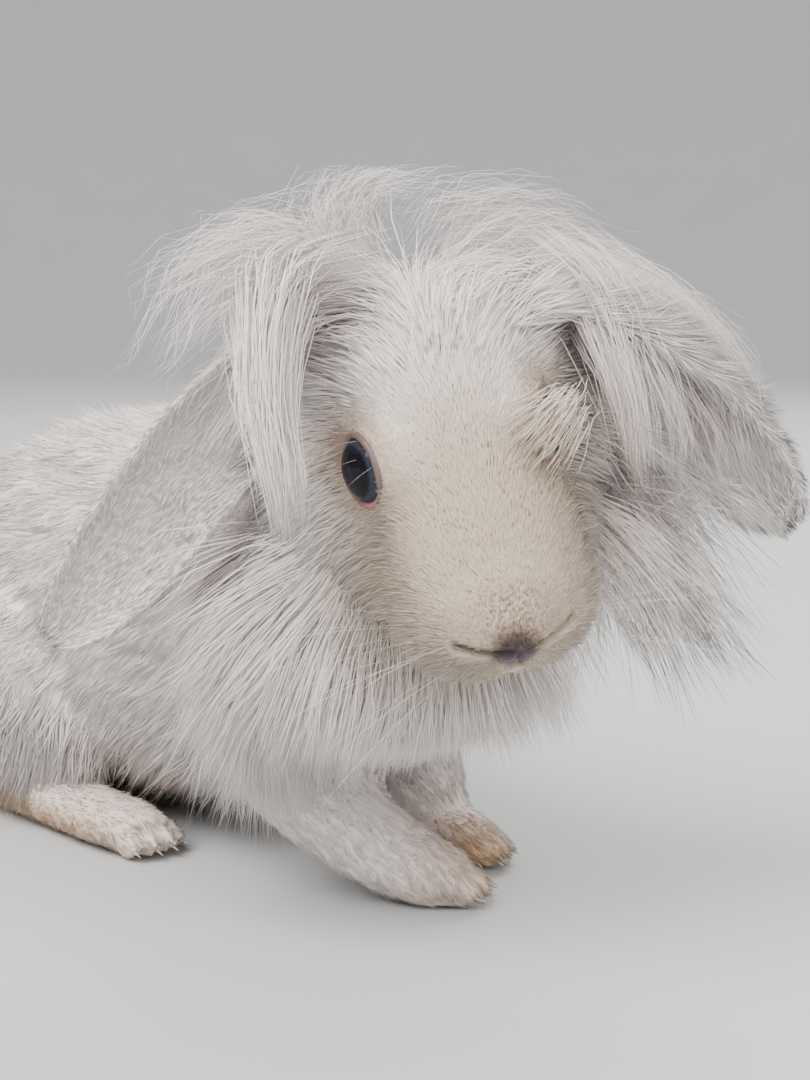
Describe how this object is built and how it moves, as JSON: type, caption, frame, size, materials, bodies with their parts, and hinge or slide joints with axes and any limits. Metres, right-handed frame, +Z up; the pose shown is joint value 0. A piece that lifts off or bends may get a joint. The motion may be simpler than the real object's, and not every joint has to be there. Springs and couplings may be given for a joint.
{
  "type": "lionhead rabbit figure",
  "caption": "Life-size rabbit with hanging ears, a woolly mane, forelock and bib, crouched on all feet with its head turned to its right and nose lowered.",
  "frame": {"origin": "on the floor under the middle of the whole model's bounding box", "axes": "+X forward from the rump to the breast, +Y to the rabbit's left, +Z up"},
  "size_m": [0.3451, 0.1758, 0.1865],
  "materials": {
    "coat": "short soft white fur",
    "mane": "long woolly white fur",
    "face": "short cream white fur",
    "ear": "short white fur over thin skin",
    "foot": "dense short fur",
    "eye": "wet gloss"
  },
  "bodies": {
    "root": {"torso": "coat", "head": "face", "neck": "mane", "tail": "coat", "foreleg_left": "coat", "foreleg_right": "coat", "haunch_left": "coat", "haunch_right": "coat", "hindfoot_left": "foot", "hindfoot_right": "foot", "ear_left": "ear", "ear_right": "ear", "eye_left": "eye", "eye_right": "eye"}
  },
  "joints": []
}
